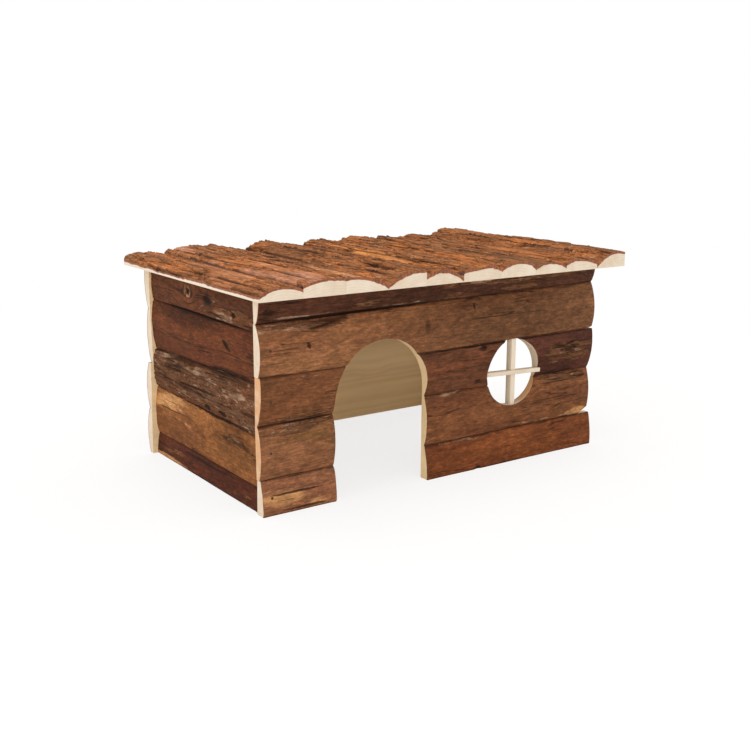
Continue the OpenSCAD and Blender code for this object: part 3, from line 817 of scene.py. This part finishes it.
# For each course, from the floor up: its pieces from left to right with their two colours, how
# rough its bark is, and what can be seen on it
WINDOW_CUTS = [doorway_cut, window_cut, stick_cut]
# The long thin pits and stains that run along the seams are painted shade in them
FRONT_COURSES = [
    dict(pieces=[("front_bottom_left", (114, 77, 55), (131, 85, 59)),
                 ("front_bottom_right", (123, 69, 36), (108, 59, 32))],
         cuts=[doorway_cut], rough=0.34, marks=[
             ("tan", -165, 13, 30, 9), ("torn", -182, 20, 10, 4), ("stain", -150, 17, 46, 2),
             ("torn", -150, 24, 40, 3, 0, 0.5), ("stain", -150, 3, 40, 2),
             ("tan", -136, 5, 18, 5, 0, 0.5), ("torn", 20, 30, 60, 3), ("pit", 42, 1, 6, 3)]),
    dict(pieces=[("front_lower_left", (133, 88, 59), (118, 80, 49)),
                 ("front_lower_right", (118, 74, 45), (106, 64, 40))],
         cuts=WINDOW_CUTS, rough=0.32, marks=[
             ("sap", -187, 58, 8, 44), ("raised", 52, 77, 34, 14, 0, 1.7),
             ("rough", -158, 73, 54, 8, 2, 1.3), ("stain", -140, 77, 46, 3, 0, 1.1),
             ("torn", -162, 72, 46, 4), ("rough", 10, 77, 34, 5), ("torn", 8, 77, 30, 4),
             ("rough", 152, 75, 38, 6), ("torn", 150, 74, 36, 4), ("torn", 165, 34, 22, 5),
             ("torn", 120, 35, 60, 1.5), ("tan", 172, 36, 20, 6), ("sap", 108, 70, 22, 26)]),
    dict(pieces=[("front_middle_left", (106, 68, 43), (115, 72, 45)),
                 ("front_middle_pier", (111, 65, 42), (94, 57, 37)),
                 ("front_middle_right", (84, 47, 34), (69, 38, 28))],
         cuts=WINDOW_CUTS, rough=0.32, marks=[
             ("pit", 70, 119, 150, 2.2, 0.3), ("sap", -187, 96, 8, 40),
             ("raised", 52, 77, 34, 14, 0, 1.7), ("rough", 152, 100, 42, 16),
             ("stain", 152, 102, 50, 16, 0, 0.6), ("stain", 46, 115, 8, 4),
             ("stain", 41, 84, 10, 4), ("pit", 47, 116, 4, 2.5), ("rough", -150, 79, 40, 3),
             ("raised", -122, 118, 80, 12, 0, 0.75), ("torn", -150, 114, 34, 2, 0, 0.4)]),
    dict(pieces=[("front_upper", (133, 89, 58), (124, 81, 53))],
         cuts=WINDOW_CUTS, rough=0.32, marks=[
             ("pit", 70, 118, 150, 1.6, 0.3), ("shade", 90, 140, 190, 60, 0, 0.7),
             ("pit", -90, 161.5, 110, 1.7, 0.8), ("rough", -140, 158, 60, 7),
             ("torn", -160, 154, 34, 4), ("stain", -142, 140, 3, 6, 20), ("stain", 35, 155, 2, 6),
             ("shade", -20, 142, 5, 15), ("raised", -122, 118, 80, 12, 0, 1.5)]),
    dict(pieces=[("front_top", (72, 43, 30), (78, 47, 33))],
         cuts=[], rough=0.42, marks=[
             ("pit", -90, 162, 110, 1.7, 0.8), ("torn", -150, 163.5, 55, 2),
             ("torn", -50, 164, 36, 3), ("rough", 80, 177, 110, 6), ("torn", 60, 178, 100, 5),
             ("stain", -178, 170, 12, 5)]),
]

for number, course in enumerate(FRONT_COURSES):
    seams = FRONT_SEAMS[number:number + 2]
    slab, log = saw_slab("front_course", FRONT, PANEL, seams, FRONT_ENDS[number],
                         FRONT_THICK[number], FRONT_TORN[number])
    for cut in course["cuts"]:
        carve(slab, cut)
    marks = course["marks"] + nail_marks(PANEL, seams, PANEL_NAILS)
    parts = split_course(slab, len(course["pieces"]), along=0)
    for part, (node, main, second) in zip(parts, course["pieces"], strict=True):
        finish_slab(part, node, "front_bark", log, FRONT_SEED + number, main, second,
                    marks, rough=course["rough"])

for cutter in (doorway_cut, window_cut, stick_cut):
    bpy.data.objects.remove(cutter)

# ---------------------------------------------------------------- Back panel
# Four wider courses of the same bark slabs, glued edge to edge like the front. It stands
# behind the side walls, its bark to the back.

BACK = Wall((0, 0, 1), (0, 1, 0), 105, 116)
BACK_SPAN = (-185, 187)      # the bench's length runs from the right end to the left one
BACK_SEAMS = [(0, 0), (43, 45), (93, 90), (141, 144), (183, 183)]
BACK_SEED = 11
BACK_THICK = [(5, 10.5, 5), (5.5, 11, 5.5), (5, 10.5, 4.5), (5, 11, 9)]
BACK_ENDS = [((-186, -185), (190, 189.5)), ((-185, -187), (189, 188.5)),
             ((-186, -185.5), (186, 187)), ((-185.5, -186), (187, 187))]
BACK_COURSES = [
    ("back_bottom", (112, 71, 46), (97, 59, 40), 0.44, []),
    ("back_lower", (127, 82, 53), (112, 67, 43), 0.4,
     [("knot", 70, 66, 9, 7), ("stain", 70, 66, 26, 9)]),
    ("back_upper", (106, 63, 43), (121, 75, 48), 0.5, [("tan", -90, 122, 90, 8, 0, 0.3)]),
    ("back_top", (95, 60, 40), (112, 71, 46), 0.46, [("knot", -40, 160, 8, 6)]),
]
for number, (node, main, second, rough, marks) in enumerate(BACK_COURSES):
    seams = BACK_SEAMS[number:number + 2]
    slab, log = saw_slab(node, BACK, BACK_SPAN, seams, BACK_ENDS[number], BACK_THICK[number])
    marks += nail_marks(BACK_SPAN, seams, PANEL_NAILS, mirrored=-1)
    finish_slab(slab, node, "back_bark", log, BACK_SEED + number, main, second, marks,
                rough=rough)

# ---------------------------------------------------------------- Side walls
# Five courses of bark slabs each. They stand between the front and the back panel, which are
# nailed into their ends. A second doorway is sawn through the right wall.

LEFT = Wall((0, 0, 1), (-1, 0, 0), 174.5, 185.5)
LEFT_SPAN = (-105, 100)      # from the back panel to the front one
LEFT_SEAMS = [(0, 0), (21, 21), (67, 65), (104, 110), (152, 152), (183, 183)]
LEFT_SEED = 21
LEFT_THICK = [(10.5, 10.5, 8.5), (8.5, 10.5, 8), (8, 11, 8.5), (7.5, 11, 9), (9, 10.5, 9.5)]
# The long thin pits and stains that run along the seams are painted shade in them
LEFT_COURSES = [
    ("left_bottom", (77, 38, 24), (86, 44, 27), 0.34, [
        ("tan", 80, 2, 50, 3), ("tan", 66, 11, 50, 5, 0, 0.25), ("tan", -70, 9, 30, 4, 0, 0.22),
        ("stain", 0, 17, 90, 3), ("torn", -50, 6, 34, 3, 0, 0.4)]),
    ("left_lower", (141, 90, 49), (118, 72, 39), 0.3, [
        ("tan", 78, 58, 60, 12, 4, 0.8), ("torn", 70, 62, 50, 4, 4, 0.8),
        ("tan", 36, 47, 26, 8, 0, 0.25), ("torn", 36, 48, 12, 8, 0, 0.4),
        ("torn", -56, 44, 20, 14, 0, 0.4), ("stain", -20, 66, 100, 3.5),
        ("shade", -60, 50, 60, 30, 0, 0.6), ("pit", 20, 66.5, 110, 1.5, -0.4)]),
    ("left_middle", (99, 59, 38), (89, 52, 34), 0.62, [
        ("rough", 30, 103, 80, 9), ("torn", 75, 101, 44, 7), ("rough", -62, 100, 50, 14),
        ("rough", -66, 78, 46, 14), ("torn", 0, 100, 66, 8), ("torn", -62, 92, 48, 15, 0, 1.3),
        ("stain", -50, 66, 60, 3, 2), ("torn", -76, 71, 34, 9), ("torn", 40, 74, 60, 5, 0, 0.7),
        ("pit", -6, 70, 9, 4), ("pit", -36, 71, 9, 3.5), ("stain", 20, 84, 80, 2.5, 2),
        ("shade", 0, 86, 200, 60, 0, 0.25), ("stain", -30, 108, 90, 3, 1.7)]),
    ("left_upper", (98, 53, 28), (90, 47, 26), 0.3, [
        ("pit", -47, 134, 8, 2.5, -30), ("stain", -49, 134, 14, 5, -30),
        ("stain", -90, 131, 14, 3), ("stain", 0, 152, 110, 5), ("pit", 0, 152, 120, 1.6),
        ("shade", 30, 146, 90, 14), ("stain", -50, 110, 60, 4, 1.7)]),
    ("left_top", (83, 46, 26), (92, 51, 28), 0.38, [
        ("knot", 25, 170, 9, 7.5), ("stain", 25, 170, 18, 8), ("pit", -15, 168, 11, 4.5, -14),
        ("stain", -15, 167, 18, 8), ("pit", -61, 161, 6, 3.5), ("rough", -50, 157, 60, 9),
        ("torn", -40, 158, 60, 8), ("pit", 0, 152, 120, 1.6)]),
]


def square_ends(span):
    return (span[0], span[0]), (span[1], span[1])


for number, (node, main, second, rough, marks) in enumerate(LEFT_COURSES):
    slab, log = saw_slab(node, LEFT, LEFT_SPAN, LEFT_SEAMS[number:number + 2],
                         square_ends(LEFT_SPAN), LEFT_THICK[number])
    finish_slab(slab, node, "side_bark", log, LEFT_SEED + number, main, second, marks,
                rough=rough)

RIGHT = Wall((0, 0, 1), (1, 0, 0), 172.5, 183.5)
RIGHT_SPAN = (-100, 105)     # from the front panel to the back one
RIGHT_SEAMS = [(0, 0), (27, 25), (69, 71), (113, 110), (156, 158), (183, 183)]
RIGHT_SEED = 31
RIGHT_THICK = [(10, 10, 8), (8.5, 11, 8), (8, 10.5, 8), (7.5, 11, 8.5), (8.5, 10.5, 9.5)]
SIDE_DOOR_X, SIDE_DOOR_Y = 178, -4
RIGHT_COURSES = [
    dict(pieces=[("right_bottom", (106, 64, 43), (94, 56, 38)),
                 ("right_bottom_rear", (101, 61, 42), (93, 56, 38))],
         rough=0.4, marks=[("torn", 80, 3, 40, 4)]),
    dict(pieces=[("right_lower", (120, 78, 49), (107, 67, 43)),
                 ("right_lower_rear", (116, 75, 48), (106, 66, 43))],
         rough=0.42, marks=[("torn", 60, 68, 50, 4), ("rough", 76, 66, 40, 6)]),
    dict(pieces=[("right_middle", (106, 69, 48), (116, 74, 48)),
                 ("right_middle_rear", (110, 71, 48), (98, 63, 43))],
         rough=0.52, marks=[("rough", 80, 92, 30, 12), ("torn", -76, 106, 30, 5)]),
    dict(pieces=[("right_upper", (118, 72, 46), (106, 63, 42))],
         rough=0.36, marks=[("knot", 66, 138, 6, 4.5), ("stain", -70, 145, 30, 6)]),
    dict(pieces=[("right_top", (98, 60, 40), (110, 69, 46))],
         rough=0.44, marks=[("rough", 0, 160, 80, 6)]),
]

# The saw cut of the second doorway is the first one's, turned into the right wall
side_doorway_cut = new_doorway_cut(SIDE_DOOR_X, SIDE_DOOR_Y, math.pi / 2)
for number, course in enumerate(RIGHT_COURSES):
    seams = RIGHT_SEAMS[number:number + 2]
    slab, log = saw_slab("right_course", RIGHT, RIGHT_SPAN, seams, square_ends(RIGHT_SPAN),
                         RIGHT_THICK[number])
    if min(seams[0]) < DOOR_HEIGHT:
        carve(slab, side_doorway_cut)
    parts = split_course(slab, len(course["pieces"]), along=1)
    for part, (node, main, second) in zip(parts, course["pieces"], strict=True):
        finish_slab(part, node, "side_bark", log, RIGHT_SEED + number, main, second,
                    course["marks"], rough=course["rough"])
bpy.data.objects.remove(side_doorway_cut)

# ---------------------------------------------------------------- Roof
# Ten thicker slabs, laid side by side from front to back with their flat faces down on the
# walls. Their bark is the log's own, furrowed and flaking. The fronts are sawn off in line, and
# the back ends are left ragged.

ROOF = Wall((1, 0, 0), (0, 0, 1), 183, 194)
ROOF_SPAN = (-135, 135)      # from the back to the front
ROOF_SEAMS = [(-200, -200), (-158, -161), (-118.5, -121), (-79, -80), (-40.5, -40.5), (-1.5, 0),
              (43, 43), (84.5, 83.5), (121.5, 122.5), (164, 162.5), (200, 200)]
# Each slab's wood is this thick at its left edge, at its crown and at its right edge
ROOF_WOOD = [(3, 8.8, 5.2), (7.7, 11.9, 10.5), (10.5, 10.9, 1), (1, 11.6, 11.5), (5, 7.8, 1),
             (6.1, 9, 5.8), (5.8, 10.8, 5.1), (4.5, 8.6, 3.7), (5.5, 8.2, 4.1), (1.5, 12.5, 11.2)]
ROOF_BARK_THICK = 2
# How far each slab's two back corners are cut short
ROOF_SHORT = [(3, 1), (0.5, 2), (0, 1), (3, 0.5), (2, 1), (0, 2), (1, 0.5), (2.5, 4), (2, 4.5),
              (1, 0)]
ROOF_ROUGH = [0.56, 0.54, 0.55, 0.62, 0.58, 0.54, 0.6, 0.56, 0.56, 0.6]
ROOF_SEED = 41
ROOF_NAILS = (-105, 109.5)       # over the front panel and over the back one
ROOF_NAIL_REACH = (-173, 171)    # the outermost places of a nail, over the side walls
ROOF_COLOURS = [
    ((176, 114, 72), (162, 103, 64)), ((178, 122, 92), (174, 111, 69)),
    ((185, 128, 98), (177, 118, 76)), ((148, 93, 54), (132, 84, 51)),
    ((142, 95, 60), (155, 103, 62)), ((209, 134, 72), (175, 114, 65)),
    ((168, 106, 59), (150, 96, 56)), ((119, 78, 48), (133, 87, 49)),
    ((176, 108, 59), (157, 97, 58)), ((153, 94, 56), (139, 85, 55)),
]
ROOF_BARK = bark(
    "Roof bark", inner=rgb(181, 110, 62), crust=rgb(132, 92, 64), fleck=rgb(214, 172, 138),
    warm=(1.3, 1.15, 1.0, 1), dark=rgb(50, 28, 16), shine=0.75, depth=1.0)

# The main furrows of each slab: how far across it they lie, and where they start and end from
# the back to the front, as shares of the slab
ROOF_FURROWS = [
    [(0.21, 0.68, 0.94), (0.45, -0.05, 0.42), (0.83, 0.15, 0.76)],
    [(0.23, -0.05, 0.6), (0.7, 0.15, 0.72), (0.34, 0.73, 0.96)],
    [(0.15, 0.35, 0.95), (0.36, -0.05, 0.52), (0.72, 0.22, 0.96)],
    [(0.24, -0.05, 0.42), (0.66, 0.2, 0.9), (0.33, 0.62, 0.96)],
    [(0.24, -0.05, 0.65), (0.7, 0.24, 0.96)],
    [(0.22, 0.28, 0.95), (0.37, -0.05, 0.36), (0.68, -0.05, 0.7), (0.82, 0.76, 0.96)],
    [(0.25, -0.05, 0.58), (0.66, 0.17, 0.96)],
    [(0.2, -0.05, 0.66), (0.82, 0.38, 0.96)],
    [(0.25, 0.12, 0.96), (0.7, -0.05, 0.6), (0.8, 0.7, 0.96)],
    [(0.4, -0.05, 0.7), (0.74, 0.26, 0.96)],
]
FURROW_RADIUS, FURROW_DEPTH = 3, 1.3
# One slab has a wider groove worn all along its crown
GROOVED_SLAB = 8
GROOVE_PLACE, GROOVE_RADIUS, GROOVE_DEPTH = (0.53, -0.05, 1.05), 5, 1.4

# Cracks, stains and pits on the bark, and the places where it stands up at the sawn ends. The
# stains and pits next to the seams are painted shade
ROOF_MARKS = [
    [("stain", -165, -104, 40, 2), ("stain", -194, 0, 190, 9, 0, 0.5),
     ("raised", -194, 118, 60, 14)],
    [("stain", -140, 60, 50, 2)],
    [("raised", -86, -134, 16, 12, 0, 1.3)],
    [("raised", -64, -134, 16, 18, 0, 1.3), ("stain", -72, 105, 18, 3), ("pit", -76, 36, 12, 3),
     ("pit", -45, -20, 16, 5)],
    [("raised", -22, -134, 22, 30, 0, 1.5), ("stain", -38, -24, 20, 5)],
    [("raised", 34, -134, 16, 18, 0, 1.3), ("raised", 4, -134, 12, 10, 0, 1.3)],
    [("raised", 78, -134, 14, 14)],
    [("raised", 104, -132, 12, 3.5)],
    [("raised", 128, -134, 12, 10)],
    [("knot", 175, -90, 7, 4.5)],
]

for number, marks in enumerate(ROOF_MARKS):
    node = f"roof_slab_{number + 1}"
    seams = ROOF_SEAMS[number:number + 2]
    back, front = ROOF_SPAN
    ends = [back + short for short in ROOF_SHORT[number]], (front, front)
    hidden = ("high",) if number == 0 else ("low",) if number == 9 else ("low", "high")
    thick = [wood + ROOF_BARK_THICK for wood in ROOF_WOOD[number]]
    slab, log = saw_slab(node, ROOF, ROOF_SPAN, seams, ends, thick, skin=ROOF_BARK, hidden=hidden)
    for y in ROOF_NAILS:
        middle = sum(seam_at(seam, ROOF_SPAN, -y) for seam in seams) / 2
        middle = max(ROOF_NAIL_REACH[0], min(ROOF_NAIL_REACH[1], middle))
        marks.append(("pressed", middle, y, *NAIL_PRESS))
    furrows = [(place, FURROW_RADIUS, FURROW_DEPTH) for place in ROOF_FURROWS[number]]
    if number + 1 == GROOVED_SLAB:
        furrows.append((GROOVE_PLACE, GROOVE_RADIUS, GROOVE_DEPTH))
    finish_slab(slab, node, "roof_bark", log, ROOF_SEED + number, *ROOF_COLOURS[number], marks,
                furrows, ROOF_SPAN, bark_thick=1.3 * ROOF_BARK_THICK, wave=1.2, fibre=0.6,
                furrow=1.7, flake=1.0, rough=ROOF_ROUGH[number], edge=1.4, ragged=3)

# ---------------------------------------------------------------- Window sticks
# Two square sticks of bare wood. They are half-lapped into a cross where they meet, and their
# ends are let into the slabs round the window.

STICK_LAP_Y = -104.75
STICK_ROUNDING = 0.35
STICK_SMOOTH_UNDER = 40
FROM_HEART, BEFORE_STICK = 20, 40    # how far the stick lay from the heart of its log
sticks = []
for node, middle, size, turn, side in STICKS:
    stick = new_stick(middle, size, turn)
    stick.name = node + "_stick"
    bpy.ops.object.mode_set(mode="EDIT")
    bpy.ops.mesh.select_all(action="SELECT")
    bpy.ops.mesh.bevel(offset=STICK_ROUNDING * MM, segments=2, affect="EDGES")
    bpy.ops.object.mode_set(mode="OBJECT")
    stick.data.materials.append(BARE_WOOD)
    sticks.append(stick)
for (node, middle, size, turn, side), stick, other in zip(STICKS, sticks, reversed(STICKS)):
    lap_cut = new_stick(*other[1:4], STICK_PLAY)
    bpy.ops.object.mode_set(mode="EDIT")
    saw_off((0, STICK_LAP_Y, 0), (0, -side, 0))
    bpy.ops.object.mode_set(mode="OBJECT")
    carve(stick, lap_cut)
    bpy.data.objects.remove(lap_cut)

    # How the stick lay in its log, along its own length
    grain = Vector((0, 0, 1)) if size[2] > size[0] else Vector((1, 0, 0))
    heart = (Vector(middle) + Vector((0, FROM_HEART, 0)) - grain * BEFORE_STICK) * MM
    apply_nodes(stick, LOG_PLACE, {
        "Heart": heart, "Along": grain, "Across": Vector((0, 1, 0)).cross(grain),
        "Out": Vector((0, -1, 0)), "Slope": 0.0, "Taper": 0.0, "Low": -100 * MM,
        "High": 100 * MM, "Log radius": 80 * MM, "Bark": 0.1 * MM, "Seed": 61 + size[0] * MM})
    bpy.ops.object.shade_smooth_by_angle(angle=math.radians(STICK_SMOOTH_UNDER))
    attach(stick, "root")
    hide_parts(node)

# ---------------------------------------------------------------- Nails
# Plain wire nails, driven through the panels into the side walls, and through the roof into
# the panels. Their flat heads are pressed into the bark and have gone dull.

NAIL_STEEL, tree, shader = new_material("Nail steel", 0.7)
sums = Sums(tree)
here = add(tree, "ShaderNodeTexCoord").outputs["Object"]
dulled = sums.noise(here, 900.0, 3.0)
colour = sums.blend(sums.step(dulled, 0.35, 0.65), rgb(84, 60, 42), rgb(54, 38, 28))
tree.links.new(colour, shader.inputs["Base Color"])
shader.inputs["Metallic"].default_value = 0.4
bump(sums, shader, dulled, 0.05)
for node in ("front_nails", "back_nails", "roof_front_nails", "roof_back_nails"):
    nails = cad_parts[node]
    nails.data.materials.clear()
    nails.data.materials.append(NAIL_STEEL)

# ---------------------------------------------------------------- Floor, light and camera
# A plain pale floor that fades into the white background, soft light from the front, from both
# sides and from above, and a camera where the photograph was taken from.

LEAST_WHITE = 0.78       # how far the floor fades to white close to the house
bpy.ops.object.select_all(action="DESELECT")
bpy.ops.mesh.primitive_plane_add(size=12)
floor = bpy.context.object
floor.name = "floor"
FLOOR, tree, shader = new_material("Floor", 0.9)
sums = Sums(tree)
shader.inputs["Base Color"].default_value = (0.92, 0.9, 0.87, 1)
shader.inputs["Specular IOR Level"].default_value = 0.1
here = add(tree, "ShaderNodeTexCoord").outputs["Object"]
away = sums.step(sums.vector("LENGTH", here), 0.3, 1.0)
seen = add(tree, "ShaderNodeLightPath").outputs["Is Camera Ray"]
white = add(tree, "ShaderNodeEmission", {"Color": (1, 1, 1, 1), "Strength": 1.0})
faded = add(tree, "ShaderNodeMixShader", {
    0: sums.multiply(sums.larger(away, LEAST_WHITE), seen), 1: shader.outputs[0],
    2: white.outputs[0]})
tree.links.new(faded.outputs[0], tree.nodes["Material Output"].inputs["Surface"])
floor.data.materials.append(FLOOR)


def soft_light(name, place, target, width, power):
    bpy.ops.object.light_add(type="AREA", location=place)
    lamp = bpy.context.object
    lamp.name = name
    lamp.rotation_euler = (Vector(target) - Vector(place)).to_track_quat("-Z", "Y").to_euler()
    lamp.data.size = width
    lamp.data.energy = power


soft_light("soft_light_front", (-0.8, -2.0, 0.75), (0, 0, 0.08), 1.6, 7)
soft_light("soft_light_left", (-2.0, -0.2, 1.3), (0, 0, 0.1), 1.2, 11)
soft_light("soft_light_right", (2.0, -0.3, 0.5), (0.1, 0, 0.06), 0.8, 9)
soft_light("soft_light_top", (-0.2, 0.1, 2.2), (0, 0, 0.1), 1.6, 9)

world = bpy.data.worlds.new("World")
bpy.context.scene.world = world
world.use_nodes = True
sums = Sums(world.node_tree)
path = add(world.node_tree, "ShaderNodeLightPath").outputs
direct = sums.larger(
    path["Is Camera Ray"], path["Is Glossy Ray"], path["Is Transmission Ray"])
background = world.node_tree.nodes["Background"]
background.inputs["Color"].default_value = (1, 1, 1, 1)
world.node_tree.links.new(sums.step(direct, 0.0, 1.0, 0.9, 1.0), background.inputs["Strength"])

# The camera's turn to the side, how far it looks down, and how far it leans, in degrees
CAMERA_TURN, CAMERA_DOWN, CAMERA_LEAN = -35.32, 12.58, 0.36
bpy.ops.object.camera_add(location=(-0.58238, -0.84007, 0.31630))
camera = bpy.context.object
aim = Matrix.Rotation(math.radians(CAMERA_TURN), 3, "Z")
aim = aim @ Matrix.Rotation(math.radians(90 - CAMERA_DOWN), 3, "X")
camera.rotation_euler = (aim @ Matrix.Rotation(math.radians(CAMERA_LEAN), 3, "Z")).to_euler()
camera.data.lens = 51.2
camera.data.sensor_width = 36
camera.data.shift_x = -0.01371
camera.data.shift_y = -0.01828
bpy.context.scene.camera = camera
bpy.context.scene.view_settings.view_transform = "Standard"
